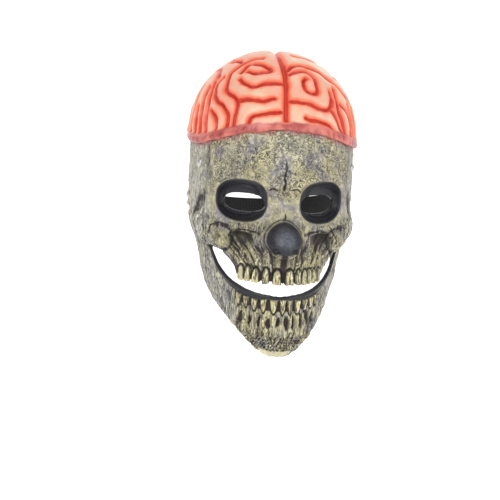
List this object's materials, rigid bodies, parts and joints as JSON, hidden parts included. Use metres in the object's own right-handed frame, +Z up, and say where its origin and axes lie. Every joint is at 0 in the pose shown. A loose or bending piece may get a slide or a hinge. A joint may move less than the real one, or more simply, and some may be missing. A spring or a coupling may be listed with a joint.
{
  "type": "latex halloween mask",
  "caption": "Latex skull mask with an exposed brain on top and a separate lower jaw riveted in front of the ears, which opens with the wearer's chin.",
  "frame": {"origin": "the wearer's crown, under the brain's top, straight above the jaw's pivots", "axes": "+Z up, the face looks along -Y, +X is the wearer's left"},
  "size_m": [0.164, 0.2229, 0.2824],
  "materials": {
    "bone_latex": "matt painted latex with crackle",
    "brain_latex": "semi-gloss painted latex",
    "jaw_latex": "matt painted latex",
    "tape": "latex-soaked cotton tape",
    "foam": "black open-cell foam",
    "elastic": "black woven elastic",
    "nickel": "bright nickel plate",
    "steel": "dull nickel plate"
  },
  "bodies": {
    "mask": {"skull_casting": "bone_latex", "brain_casting": "brain_latex", "seam_tape": "tape", "crown_pad": "foam", "brow_pad": "foam", "cheek_pad_left": "foam", "cheek_pad_right": "foam", "pivot_rivet_left": "nickel", "pivot_rivet_right": "nickel", "pivot_rivet_back_left": "steel", "pivot_rivet_back_right": "steel", "pivot_spacer_left": "steel", "pivot_spacer_right": "steel", "temple_rivet_left": "nickel", "temple_rivet_right": "nickel", "temple_rivet_back_left": "steel", "temple_rivet_back_right": "steel", "upper_strap": "elastic", "lower_strap": "elastic"},
    "jaw": {"jaw_casting": "jaw_latex", "chin_pad": "foam", "jaw_eyelet_left": "steel", "jaw_eyelet_right": "steel"}
  },
  "joints": [
    {"name": "jaw_hinge", "type": "hinge", "parent": "mask", "child": "jaw", "pos_m": [0, 0, -0.122], "axis": [1, 0, 0], "range_deg": [0, 18]}
  ]
}
